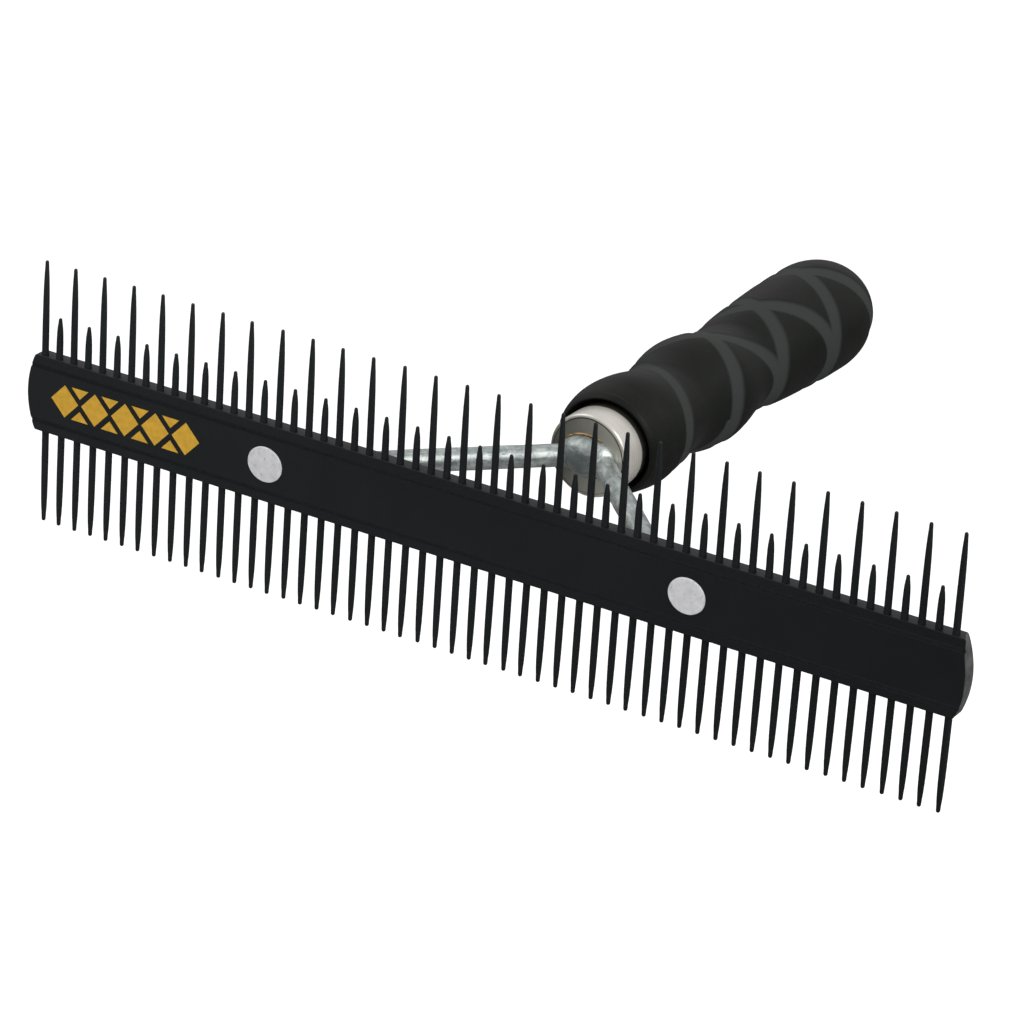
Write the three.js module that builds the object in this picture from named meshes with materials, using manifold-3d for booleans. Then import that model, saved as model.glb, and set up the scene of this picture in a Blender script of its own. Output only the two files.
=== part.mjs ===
// Two-sided grooming comb on a rod yoke with a rubber-gripped handle, in millimetres.
//
// Frame: the origin is the centre of the comb bar's flat front panel. +X runs along the
// comb, +Y from the bar back along the handle, and +Z towards the row of long and short
// teeth. The bar and both rows of teeth are one casting. Two bent rods carry it: each is
// riveted behind the bar by its flattened end, and both meet a hub whose tang is driven
// through the ferrule into the handle core. The grip is a rubber sleeve over the core.
import * as THREE from 'three';
import { mergeVertices } from 'three/addons/utils/BufferGeometryUtils.js';
import Module from 'manifold-3d';

// Comb bar
const BAR_LENGTH = 230.2; // about 9 in over the bulged ends
const BAR_HEIGHT = 18.0;
const BAR_DEPTH = 3.4;
const BAR_END_BULGE = 1.9; // how far each end's arc stands beyond its corners
const BAR_CORNER = 0.4;
const GROOVE_WIDTH = 1.2; // shallow channel between the panel and each lip
const GROOVE_DEPTH = 0.3;
const GROOVE_HEIGHT = 6.45; // channel centre above and below the bar's middle

// Teeth
const TOOTH_SPAN = 222.0; // first to last tooth centre, the same in both rows
const UPPER_COUNT = 59; // long and short in turn, long at both ends
const LOWER_COUNT = 53;
const LONG_TIP = 30.8; // height of the tips from the bar's middle
const SHORT_TIP = 18.3;
const LOWER_TIP = 31.0;
const TOOTH_RADIUS = 0.77;
const TOOTH_ROOT = 1.0; // how deep a tooth starts inside the bar

// Rivets
const RIVET_X = 51.7;
const RIVET_HEAD_RADIUS = 4.25;
const RIVET_SHANK_RADIUS = 2.0;
const RIVET_PROUD = 0.35; // head above the panel
const RIVET_SEAT = 0.6; // counterbore depth
const RIVET_TAIL_RADIUS = 3.6;
const RIVET_TAIL_HEIGHT = 1.8;

// Yoke
const ROD_RADIUS = 2.5;
const TAB_THICKNESS = 2.2;
const TAB_HEIGHT = 9.0;
const TAB_OUTER = 57.0; // outer end of the flattened tab
const TAB_INNER = 41.0;
const TAB_FLARE = 3.0; // length over which the tab widens to its full height
const LEG_FOOT = [44.4, 4.7, 0]; // a leg's straight stretch aims at this point behind the bar
const LEG_APEX = [3.7, 47.0, -0.6]; // and at this one on the ferrule's face
const BEND_ENTRY = 2.6; // the rod lies against the bar from this far outside the foot
const BEND_EXIT = 1.2; // and lifts off by BEND_LIFT at this far inside it
const BEND_LIFT = 1.0;
const STRAIGHT_SHARES = [0.13, 0.4, 0.7, 1.0]; // points along the straight stretch

// Handle, along its axis
const FERRULE_FACE = 47.0;
const FERRULE_RADIUS = 9.55;
const FERRULE_END = 70.0;
const FERRULE_WALL = 0.8;
const FERRULE_EDGE = 0.75;
const TANG_RADIUS = 3.2;
const TANG_END = 102.0;
const TANG_POINT = 6.0; // length of the tang's tapered end
const HUB_NOSE = 4.4; // how far the hub stands in front of the ferrule
const HUB_RADIUS = 4.7; // its half height, where it meets the ferrule
const HUB_STRETCH = 1.5; // its width over its height
const HUB_DROP = 0.0; // how far its centre lies below the handle's axis
const BRAZE_WIDTH = 1.1;
const BRAZE_LENGTH = 12.0;
const CORE_RADIUS = 9.5;
const CORE_END = 155.0;
const CORE_CHAMFER = 4.0; // length of the core's tapered rear end
const CORE_TIP_RADIUS = 6.5;
const GRIP_MOUTH = 53.7;
const GRIP_MOUTH_FLARE = 1.2; // length over which the bore opens to the mouth
const GRIP_BORE = 9.68;
const GRIP_REAR = 13.3;
const GRIP_DOME = 147.5; // where the rear starts to round off
const GRIP_END = 164.6;
// The grip's outer line from the mouth to the dome, as [radius, y]: two finger bulbs with
// a waist behind each, and a rear that swells again.
const GRIP_LINE = [
  [10.3, GRIP_MOUTH],
  [11.7, 55.1],
  [12.5, 58.0],
  [13.0, 62.5],
  [12.6, 67.0],
  [11.8, 71.5],
  [11.2, 76.5],
  [11.5, 81.0],
  [12.6, 86.0],
  [13.2, 91.0],
  [12.8, 95.5],
  [12.0, 100.0],
  [11.25, 105.0],
  [11.2, 109.5],
  [12.0, 117.0],
  [12.75, 129.0],
  [13.2, 139.0],
  [GRIP_REAR, GRIP_DOME],
];

const FIT = 0.12; // clearance between nested round pieces
const GAP = 0.3; // clearance where one piece is cut by another
const BEYOND = 20; // how far a cutter reaches past what it cuts
const ROUND = 28; // sides of the handle's round pieces

const wasm = await Module();
wasm.setup();

function finish(color, roughness, metalness) {
  return new THREE.MeshStandardMaterial({ color, roughness, metalness });
}

const casting = finish(0x1b1e21, 0.62, 0.1);
const zinc = finish(0x9aa3a3, 0.38, 0.9);
const aluminium = finish(0xc4c4c6, 0.45, 0.8);
const nickel = finish(0xcac5bf, 0.16, 1.0);
const braze = finish(0xb08a45, 0.4, 0.9);
const rubber = finish(0x191b1c, 0.7, 0.0);
const wood = finish(0xb48a5c, 0.75, 0.0);

function toSolid(geometry) {
  const bare = geometry.index ? geometry.toNonIndexed() : geometry.clone();
  bare.deleteAttribute('normal');
  bare.deleteAttribute('uv');
  const merged = mergeVertices(bare, 1e-4);
  return new wasm.Manifold(new wasm.Mesh({
    numProp: 3,
    vertProperties: new Float32Array(merged.attributes.position.array),
    triVerts: new Uint32Array(merged.index.array),
  }));
}

function toGeometry(solid) {
  const mesh = solid.getMesh();
  const geometry = new THREE.BufferGeometry();
  geometry.setAttribute('position', new THREE.BufferAttribute(mesh.vertProperties, 3));
  geometry.setIndex(new THREE.BufferAttribute(mesh.triVerts, 1));
  geometry.computeVertexNormals();
  return geometry;
}

function named(name, geometry, material) {
  const mesh = new THREE.Mesh(geometry, material.clone());
  mesh.name = name;
  return mesh;
}

// A body of revolution about Y. Each point is [radius, y], from the axis or the inside
// outwards and towards +Y.
function turned(points, sides = ROUND) {
  return new THREE.LatheGeometry(points.map(([r, y]) => new THREE.Vector2(r, y)), sides);
}

// A closed ring profile is turned the same way, and ends on its first point.
function turnedRing(points, sides = ROUND) {
  return turned([...points, points[0]], sides);
}

function pinAlongY(radius, from, to, x) {
  const pin = new THREE.CylinderGeometry(radius, radius, to - from, ROUND);
  return pin.translate(x, (from + to) / 2, 0);
}

// --- Comb casting ---

function barBlank() {
  const half = BAR_HEIGHT / 2;
  const corner = BAR_LENGTH / 2 - BAR_END_BULGE;
  const bow = 2 * BAR_END_BULGE; // a quadratic curve's control point stands twice as far out
  const outline = new THREE.Shape();
  outline.moveTo(-corner + BAR_CORNER, -half);
  outline.lineTo(corner - BAR_CORNER, -half);
  outline.lineTo(corner, -half + BAR_CORNER);
  outline.quadraticCurveTo(corner + bow, 0, corner, half - BAR_CORNER);
  outline.lineTo(corner - BAR_CORNER, half);
  outline.lineTo(-corner + BAR_CORNER, half);
  outline.lineTo(-corner, half - BAR_CORNER);
  outline.quadraticCurveTo(-corner - bow, 0, -corner, -half + BAR_CORNER);
  outline.closePath();
  const blank = new THREE.ExtrudeGeometry(outline, {
    depth: BAR_DEPTH, bevelEnabled: false, curveSegments: 10,
  });
  return blank.rotateX(Math.PI / 2).translate(0, BAR_DEPTH, 0);
}

function grooveCutter(z) {
  const halfWidth = GROOVE_WIDTH / 2;
  const radius = (halfWidth ** 2 + GROOVE_DEPTH ** 2) / (2 * GROOVE_DEPTH);
  const cutter = new THREE.CylinderGeometry(radius, radius, BAR_LENGTH + BEYOND, 20);
  return cutter.rotateZ(Math.PI / 2).translate(0, GROOVE_DEPTH - radius, z);
}

function tooth(x, tip, side) {
  const root = BAR_HEIGHT / 2 - TOOTH_ROOT;
  const length = tip - BAR_HEIGHT / 2;
  const profile = [
    [0, root],
    [TOOTH_RADIUS, root],
    [TOOTH_RADIUS * 0.9, tip - length * 0.45],
    [TOOTH_RADIUS * 0.55, tip - length * 0.06 - 0.5],
    [0, tip],
  ];
  const spike = turned(profile, 8).rotateX(side * Math.PI / 2);
  return spike.translate(x, BAR_DEPTH / 2, 0);
}

function teeth() {
  const spikes = [];
  for (let i = 0; i < UPPER_COUNT; i++) {
    const x = (i / (UPPER_COUNT - 1) - 0.5) * TOOTH_SPAN;
    spikes.push(tooth(x, i % 2 === 0 ? LONG_TIP : SHORT_TIP, 1));
  }
  for (let i = 0; i < LOWER_COUNT; i++) {
    const x = (i / (LOWER_COUNT - 1) - 0.5) * TOOTH_SPAN;
    spikes.push(tooth(x, LOWER_TIP, -1));
  }
  return spikes;
}

function combCasting() {
  let solid = toSolid(barBlank());
  for (const z of [-GROOVE_HEIGHT, GROOVE_HEIGHT]) {
    solid = solid.subtract(toSolid(grooveCutter(z)));
  }
  for (const x of [-RIVET_X, RIVET_X]) {
    const hole = pinAlongY(RIVET_SHANK_RADIUS + FIT, -BEYOND, BEYOND, x);
    const seat = pinAlongY(RIVET_HEAD_RADIUS + FIT, -BEYOND, RIVET_SEAT, x);
    solid = solid.subtract(toSolid(hole)).subtract(toSolid(seat));
  }
  for (const spike of teeth()) {
    solid = solid.add(toSolid(spike));
  }
  return toGeometry(solid);
}

// --- Rivets: a flat head in front, a domed tail behind the yoke's tab ---

function rivet() {
  const tail = BAR_DEPTH + TAB_THICKNESS + FIT;
  const seat = RIVET_SEAT - FIT;
  return turned([
    [0, -RIVET_PROUD],
    [RIVET_HEAD_RADIUS - 0.3, -RIVET_PROUD],
    [RIVET_HEAD_RADIUS, -RIVET_PROUD + 0.25],
    [RIVET_HEAD_RADIUS, seat],
    [RIVET_SHANK_RADIUS, seat],
    [RIVET_SHANK_RADIUS, tail],
    [RIVET_TAIL_RADIUS, tail],
    [RIVET_TAIL_RADIUS * 0.87, tail + RIVET_TAIL_HEIGHT * 0.5],
    [RIVET_TAIL_RADIUS * 0.5, tail + RIVET_TAIL_HEIGHT * 0.87],
    [0, tail + RIVET_TAIL_HEIGHT],
  ]);
}

// --- Yoke ---

function legPath(side) {
  const low = BAR_DEPTH + FIT + ROD_RADIUS;
  const foot = new THREE.Vector3(...LEG_FOOT);
  const apex = new THREE.Vector3(...LEG_APEX);
  const straight = STRAIGHT_SHARES.map((t) => foot.clone().lerp(apex, t));
  const bend = [
    new THREE.Vector3(LEG_FOOT[0] + BEND_ENTRY, low, 0),
    new THREE.Vector3(LEG_FOOT[0] - BEND_EXIT, low + BEND_LIFT, 0),
  ];
  const points = [...bend, ...straight];
  for (const point of points) {
    point.x *= side;
  }
  return new THREE.CatmullRomCurve3(points);
}

function rod(side, radius) {
  const section = new THREE.Shape();
  section.absarc(0, 0, radius, 0, 2 * Math.PI, false);
  return new THREE.ExtrudeGeometry(section, {
    extrudePath: legPath(side), steps: 15, curveSegments: 6, bevelEnabled: false,
  });
}

function legTab(side) {
  const radius = TAB_HEIGHT / 2;
  const outline = new THREE.Shape();
  outline.moveTo(TAB_INNER, -ROD_RADIUS);
  outline.lineTo(TAB_INNER + TAB_FLARE, -radius);
  outline.lineTo(TAB_OUTER - radius, -radius);
  outline.absarc(TAB_OUTER - radius, 0, radius, -Math.PI / 2, Math.PI / 2, false);
  outline.lineTo(TAB_INNER + TAB_FLARE, radius);
  outline.lineTo(TAB_INNER, ROD_RADIUS);
  outline.closePath();
  const tab = new THREE.ExtrudeGeometry(outline, {
    depth: TAB_THICKNESS, bevelEnabled: false, curveSegments: 12,
  });
  tab.rotateX(Math.PI / 2).translate(0, TAB_THICKNESS, 0);
  if (side < 0) {
    tab.rotateZ(Math.PI).translate(0, TAB_THICKNESS, 0);
  }
  return tab.translate(0, BAR_DEPTH + FIT / 2, 0);
}

function hubSurface(grow) {
  const steps = 6;
  const points = [];
  for (let i = 0; i <= steps; i++) {
    const angle = (i / steps) * Math.PI / 2;
    const radius = (HUB_RADIUS + grow) * Math.sin(angle);
    points.push([radius, FERRULE_FACE - GAP - (HUB_NOSE + grow) * Math.cos(angle)]);
  }
  return points;
}

// Everything from one y to another, as a cutter across the whole yoke.
function slab(from, to) {
  const block = new THREE.BoxGeometry(BAR_LENGTH, to - from, BAR_HEIGHT);
  return block.translate(0, (from + to) / 2, 0);
}

function hubBody(grow, back) {
  const body = turned([...hubSurface(grow), [0, back]]);
  return body.scale(HUB_STRETCH, 1, 1).translate(0, 0, -HUB_DROP);
}

function yokeLeg(side) {
  const tabFront = BAR_DEPTH + FIT / 2;
  const x = side * RIVET_X;
  let solid = toSolid(rod(side, ROD_RADIUS)).add(toSolid(legTab(side)));
  const cutters = [
    hubBody(GAP, FERRULE_FACE + GAP),
    slab(tabFront - BEYOND, tabFront),
    slab(FERRULE_FACE - GAP, FERRULE_FACE + BEYOND),
    pinAlongY(RIVET_SHANK_RADIUS + FIT, 0, BEYOND, x),
    pinAlongY(RIVET_TAIL_RADIUS + GAP, tabFront + TAB_THICKNESS, BEYOND, x),
  ];
  for (const cutter of cutters) {
    solid = solid.subtract(toSolid(cutter));
  }
  return toGeometry(solid);
}

// The hub's nose and the tang that runs through the ferrule into the core are one piece.
function yokeHub() {
  const start = FERRULE_FACE - HUB_NOSE / 2;
  const tang = turned([
    [0, start],
    [TANG_RADIUS, start],
    [TANG_RADIUS, TANG_END - TANG_POINT],
    [0, TANG_END],
  ]);
  return toGeometry(toSolid(hubBody(0, FERRULE_FACE - GAP)).add(toSolid(tang)));
}

// The braze fills the corner between the hub and the ferrule, above and below the legs.
function brazeFillet(side) {
  const inner = HUB_RADIUS + GAP;
  const face = FERRULE_FACE - FIT;
  const ring = turnedRing([
    [inner, face - 1.0],
    [inner + BRAZE_WIDTH * 0.45, face - 0.75],
    [inner + BRAZE_WIDTH, face],
    [inner, face],
  ]);
  ring.scale(HUB_STRETCH, 1, 1).translate(0, 0, -HUB_DROP);
  const reach = new THREE.BoxGeometry(BRAZE_LENGTH, BEYOND, BEYOND);
  reach.translate(0, FERRULE_FACE, side * BEYOND / 2 - HUB_DROP);
  let solid = toSolid(ring).intersect(toSolid(reach));
  for (const leg of [-1, 1]) {
    solid = solid.subtract(toSolid(rod(leg, ROD_RADIUS + GAP)));
  }
  return toGeometry(solid);
}

// --- Handle ---

function ferrule() {
  const inner = FERRULE_RADIUS - FERRULE_WALL;
  const edge = FERRULE_EDGE;
  const bore = TANG_RADIUS + FIT;
  const back = FERRULE_FACE + FERRULE_WALL;
  return turnedRing([
    [bore, FERRULE_FACE],
    [FERRULE_RADIUS - edge, FERRULE_FACE],
    [FERRULE_RADIUS - edge * 0.3, FERRULE_FACE + edge * 0.3],
    [FERRULE_RADIUS, FERRULE_FACE + edge],
    [FERRULE_RADIUS, FERRULE_END],
    [inner, FERRULE_END],
    [inner, back],
    [bore, back],
  ]);
}

function handleCore() {
  const neck = FERRULE_RADIUS - FERRULE_WALL - FIT;
  const bore = TANG_RADIUS + FIT;
  const front = FERRULE_FACE + FERRULE_WALL + FIT;
  return turned([
    [0, TANG_END + 1],
    [bore, TANG_END + 1 - TANG_POINT],
    [bore, front],
    [neck, front],
    [neck, FERRULE_END + FIT],
    [CORE_RADIUS, FERRULE_END + FIT],
    [CORE_RADIUS, CORE_END - CORE_CHAMFER],
    [CORE_TIP_RADIUS, CORE_END],
    [0, CORE_END],
  ]);
}

function gripOutline() {
  const line = new THREE.SplineCurve(GRIP_LINE.map(([r, y]) => new THREE.Vector2(r, y)));
  const points = line.getPoints(34).map((p) => [p.x, p.y]);
  const steps = 8;
  for (let i = 1; i < steps; i++) {
    const angle = (i / steps) * Math.PI / 2;
    const y = GRIP_DOME + (GRIP_END - GRIP_DOME) * Math.sin(angle);
    points.push([GRIP_REAR * Math.cos(angle), y]);
  }
  points.push([0, GRIP_END]);
  return points;
}

function rubberGrip() {
  return turned([
    [0, CORE_END + FIT],
    [CORE_TIP_RADIUS + FIT, CORE_END + FIT],
    [GRIP_BORE, CORE_END - CORE_CHAMFER + FIT],
    [GRIP_BORE, GRIP_MOUTH + GRIP_MOUTH_FLARE],
    ...gripOutline(),
  ]);
}

// --- Assembly ---

const tool = new THREE.Group();

const comb = new THREE.Group();
comb.add(named('comb_casting', combCasting(), casting));
for (const [name, side] of [['left_rivet', -1], ['right_rivet', 1]]) {
  const mesh = named(name, rivet(), aluminium);
  mesh.position.x = side * RIVET_X;
  comb.add(mesh);
}
tool.add(comb);

const yoke = new THREE.Group();
yoke.add(named('yoke_left_leg', yokeLeg(-1), zinc));
yoke.add(named('yoke_right_leg', yokeLeg(1), zinc));
yoke.add(named('yoke_hub_and_tang', yokeHub(), zinc));
yoke.add(named('upper_braze_fillet', brazeFillet(1), braze));
yoke.add(named('lower_braze_fillet', brazeFillet(-1), braze));
tool.add(yoke);

const handle = new THREE.Group();
handle.add(named('ferrule', ferrule(), nickel));
handle.add(named('handle_core', handleCore(), wood));
handle.add(named('rubber_grip', rubberGrip(), rubber));
tool.add(handle);

export default tool;
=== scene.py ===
import math
import random

import bmesh
import bpy
import numpy as np
from mathutils import Matrix, Vector, noise

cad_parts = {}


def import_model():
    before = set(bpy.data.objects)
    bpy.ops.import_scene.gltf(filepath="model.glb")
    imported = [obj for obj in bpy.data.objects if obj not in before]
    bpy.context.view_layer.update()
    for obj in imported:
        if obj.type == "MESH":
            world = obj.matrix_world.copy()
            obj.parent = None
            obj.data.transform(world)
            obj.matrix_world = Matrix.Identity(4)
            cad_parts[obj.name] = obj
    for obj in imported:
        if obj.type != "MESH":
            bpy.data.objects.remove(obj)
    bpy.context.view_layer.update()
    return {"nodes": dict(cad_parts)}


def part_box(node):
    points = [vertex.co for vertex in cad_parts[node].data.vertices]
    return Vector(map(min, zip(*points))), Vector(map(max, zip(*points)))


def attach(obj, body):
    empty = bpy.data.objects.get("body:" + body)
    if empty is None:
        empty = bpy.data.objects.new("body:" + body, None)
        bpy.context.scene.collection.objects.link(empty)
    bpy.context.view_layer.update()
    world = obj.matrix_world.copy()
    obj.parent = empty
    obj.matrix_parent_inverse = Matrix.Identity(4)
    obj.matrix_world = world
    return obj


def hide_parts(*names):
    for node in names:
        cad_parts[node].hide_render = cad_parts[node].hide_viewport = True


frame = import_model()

MM = 0.001

# The camera, round the point it looks at
CAMERA_TARGET = (8.60, 1.75, 5.50)
CAMERA_DISTANCE = 1011.0
CAMERA_AZIMUTH = 30.35
CAMERA_ELEVATION = 24.44
CAMERA_ROLL = 3.54
CAMERA_LENS = 172.4

# Comb bar
BAR_TOP = 9.05
BAR_BOTTOM = -8.8
BAR_DEPTH = 3.4
BAR_LEFT = -112.5  # where each end's arc starts
BAR_RIGHT = 113.15
BAR_BULGE = 1.9
BAR_CUT = 0.25
BAR_SQUARE = 1.3  # the right end's front edge is left fuller at the top
GROOVES = ((7.0, 5.85), (-5.85, -7.0))  # upper and lower edge of each channel
GROOVE_DEPTH = 0.26
LIP_ROUND = 0.14
END_ROUND = 0.2

# Gold ornament on the panel
GOLD_MIDDLE = -88.3
GOLD_TOP = 3.8
GOLD_PITCH = 8.0
GOLD_COUNT = 5
GOLD_LIFT = 0.04

# Teeth. A row's widths are (share of the length, radius), and its drift is how far the
# roots and the tips stand to the right of even spacing.
TOOTH_SPAN = 222.0
TOOTH_ROOT = 9.0
UPPER_COUNT = 59
LOWER_COUNT = 53
LONG_TIP = 30.8
SHORT_TIP = 18.3
LOWER_TIP = 31.0
UPPER_WIDTHS = [
    (0.0, 0.78), (0.3, 0.765), (0.5, 0.73), (0.65, 0.69), (0.78, 0.62), (0.88, 0.54), (0.95, 0.455),
]
LOWER_WIDTHS = [
    (0.0, 0.785), (0.3, 0.785), (0.5, 0.77), (0.65, 0.735), (0.78, 0.685), (0.88, 0.61), (0.95, 0.51),
]
UPPER_FORWARD = 0.72  # how far forward of the bar's middle the upper roots stand
UPPER_DRIFT = (0.55, 0.10)
LOWER_DRIFT = (0.45, 0.22)
TOOTH_SIDES = 14
TOOTH_STRAY = 0.08  # the most that one tooth leans or bows away from its row
TOOTH_WORN = 0.12  # the most that one tooth falls short of its row

# Rivets
RIVET_HEAD = 4.25
RIVET_SHANK = 2.0
RIVET_TAIL = 3.6
RIVET_SEAT = 2.32  # thickness of the tab that the tail is set on
RIVET_OVAL = (1.03, 0.95)  # the heads are set slightly wider than high
RIVET_SIDES = 64

# Yoke. A leg's straight stretch runs from its foot behind the bar to its apex at the
# ferrule. The foot is flattened into a tab, given as (x, y, half thickness, half height).
ROD_RADIUS = 2.55
LEG_FOOT = (44.4, 4.7, 0.0)
LEG_APEX = (3.7, 47.0, -0.6)
TAB_STATIONS = [
    (57.0, 4.6, 0.4, 0.6),
    (56.7, 4.6, 0.9, 1.9),
    (55.6, 4.6, 1.1, 3.4),
    (54.0, 4.6, 1.1, 4.3),
    (52.0, 4.6, 1.1, 4.5),
    (48.5, 4.6, 1.15, 4.4),
    (46.0, 4.8, 1.3, 4.1),
    (43.6, 6.1, 1.75, 3.4),
    (41.6, 7.9, 2.2, 2.8),
]
HUB_CENTRE = (0.0, 47.0, 0.1)
HUB_RADII = (6.9, 4.2, 4.65)
DARK_PATCH_CENTRE = (-0.5, 43.5, -1.0)  # the middle of the darker patch on the hub
DARK_PATCH_REACH = 5.5
YOKE_VOXEL = 0.25
YOKE_SMOOTHING = 5

# Handle
FERRULE_FACE = 47.0
FERRULE_RADIUS = 9.55
FERRULE_END = 70.0
FERRULE_WALL = 0.8
FERRULE_EDGE = 0.75
FERRULE_BORE = 3.4
FERRULE_SIDES = 160
PAINTED_HIGHLIGHT_ANGLE = 30.0  # the rolled edge is painted brightest towards this side, a painted highlight
FERRULE_SHADE = 52.5  # coloured dark from here to the mouth, to stand for the shaded gap there
FERRULE_SEAM = 0.3  # width of the seam between the face and the rolled edge
GRIP_LINE = [
    (10.85, 53.75), (11.25, 54.05), (11.85, 55.1), (12.5, 58.0), (13.0, 62.5), (12.75, 66.5), (12.0, 70.5),
    (11.25, 74.0), (10.95, 77.0), (11.25, 80.0), (11.9, 83.5), (12.75, 87.5), (13.2, 91.5), (12.8, 95.5),
    (12.0, 99.5), (11.15, 103.5), (10.8, 107.5), (11.2, 111.0), (11.75, 115.0), (12.3, 121.0), (12.75, 129.0),
    (13.2, 138.0), (13.3, 147.5),
]
GRIP_REAR = 13.3
GRIP_DOME = 147.5
GRIP_END = 164.6
GRIP_BORE = 9.68
GRIP_LEAN = 3.6  # how far the bulbs lean back on the side of the nodes
CORE_END = 155.0
CORE_CHAMFER = 4.0
CORE_TIP_RADIUS = 6.5
LEAN_ANGLE = 78.0
MOUTH_SKEW = 0.75  # the sleeve's mouth is not quite square to the handle
MOUTH_ANGLE = 25.0
MOUTH_LIFT = 0.4  # how far the whole mouth lies nearer the bar
MOUTH_FADE = (54.0, 64.0)  # the skew fades out between these places
GRIP_SIDES = 300
GRIP_STEP = 0.24
# Moulded grooves: rings round the grip, and steeper links that rise to meet the next ring
# at a node. Both are (middle, tilt) of a cosine about the node's angle.
RINGS = ((74.0, -5.0), (95.5, -5.0), (118.9, -5.0), (140.6, -5.0))
LINKS = ((56.5, 12.0), (77.0, 12.5), (97.8, 14.6), (122.2, 11.8), (145.2, 9.9))
LOWER_ONLY = 2  # how many of the first links show on the lower side only
NODE_ANGLE = 100.0
BAND_HALF = 1.95
BAND_EDGE = 1.3
BAND_DEPTH = 0.26
BAND_START = 57.5  # no groove shows nearer the mouth

# Lights, all turned to this point in metres
LIGHT_TARGET = (0, 0.04, 0)


# --- Helpers ---


def piece(name, verts, faces, material, node=(), slot=None, sharp=40):
    """A mesh piece from points in millimetres, riding on the tool's one body."""
    mesh = bpy.data.meshes.new(name)
    mesh.from_pydata([Vector(v) * MM for v in verts], [], faces)
    return place(name, mesh, material, node, slot, sharp)


def place(name, mesh, material, node=(), slot=None, sharp=40):
    """A smooth-shaded object, creased where faces meet at more than sharp degrees."""
    bm = bmesh.new()
    bm.from_mesh(mesh)
    bmesh.ops.recalc_face_normals(bm, faces=bm.faces)
    limit = math.radians(sharp)
    for face in bm.faces:
        face.smooth = True
    for edge in bm.edges:
        edge.smooth = not (edge.is_manifold and edge.calc_face_angle(0) > limit)
    bm.to_mesh(mesh)
    bm.free()
    obj = bpy.data.objects.new(name, mesh)
    bpy.context.scene.collection.objects.link(obj)
    mesh.materials.append(material)
    if node:
        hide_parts(*node)
    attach(obj, "root")
    return obj


def paint(obj, name, values):
    """Gives each point of a piece the value that its material reads under this name."""
    layer = obj.data.attributes.new(name, "FLOAT", "POINT")
    layer.data.foreach_set("value", np.array(values, np.float32).ravel())


def lathe(profile, sides, closed=False):
    """Turns (radius, y) points about the handle's axis, and closes the poles where the radius is 0."""
    verts, rows = [], []
    for radius, y in profile:
        if radius < 1e-6:
            rows.append([len(verts)] * sides)
            verts.append((0.0, y, 0.0))
            continue
        rows.append(list(range(len(verts), len(verts) + sides)))
        for k in range(sides):
            a = 2 * math.pi * k / sides
            verts.append((radius * math.sin(a), y, radius * math.cos(a)))
    faces = []
    pairs = list(zip(rows, rows[1:]))
    if closed:
        pairs.append((rows[-1], rows[0]))
    for low, high in pairs:
        for k in range(sides):
            m = (k + 1) % sides
            corners = [low[k], low[m], high[m], high[k]]
            kept = [c for i, c in enumerate(corners) if c not in corners[:i]]
            if len(kept) > 2:
                faces.append(kept)
    return verts, faces


def catmull(points, per_span):
    """A smooth line through points of any width."""
    pts = np.array(points, float)
    ends = np.vstack([2 * pts[0] - pts[1], pts, 2 * pts[-1] - pts[-2]])
    out = []
    for i in range(1, len(ends) - 2):
        a, b, c, d = ends[i - 1 : i + 3]
        for k in range(per_span):
            t = k / per_span
            out.append(
                0.5 * (2 * b + (c - a) * t + (2 * a - 5 * b + 4 * c - d) * t * t
                       + (3 * b - a - 3 * c + d) * t ** 3)
            )
    out.append(ends[-2])
    return np.array(out)


def sweep(path, ups, sides=24):
    """A closed tube along path rows (x, y, z, half thickness, half height).

    ups is the direction of the height.
    """
    centres = path[:, :3]
    tangents = np.gradient(centres, axis=0)
    tangents /= np.linalg.norm(tangents, axis=1)[:, None]
    verts, faces = [], []
    for p, t in zip(path, tangents):
        up = Vector(ups) - Vector(t) * Vector(ups).dot(Vector(t))
        up.normalize()
        side = Vector(t).cross(up)
        for k in range(sides):
            a = 2 * math.pi * k / sides
            v = Vector(p[:3]) + side * (p[3] * math.cos(a)) + up * (p[4] * math.sin(a))
            verts.append(tuple(v))
    for i in range(len(path) - 1):
        for k in range(sides):
            m = (k + 1) % sides
            faces.append([i * sides + k, i * sides + m, (i + 1) * sides + m, (i + 1) * sides + k])
    faces.append(list(range(sides))[::-1])
    faces.append([(len(path) - 1) * sides + k for k in range(sides)])
    return verts, faces


# --- Materials ---


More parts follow.
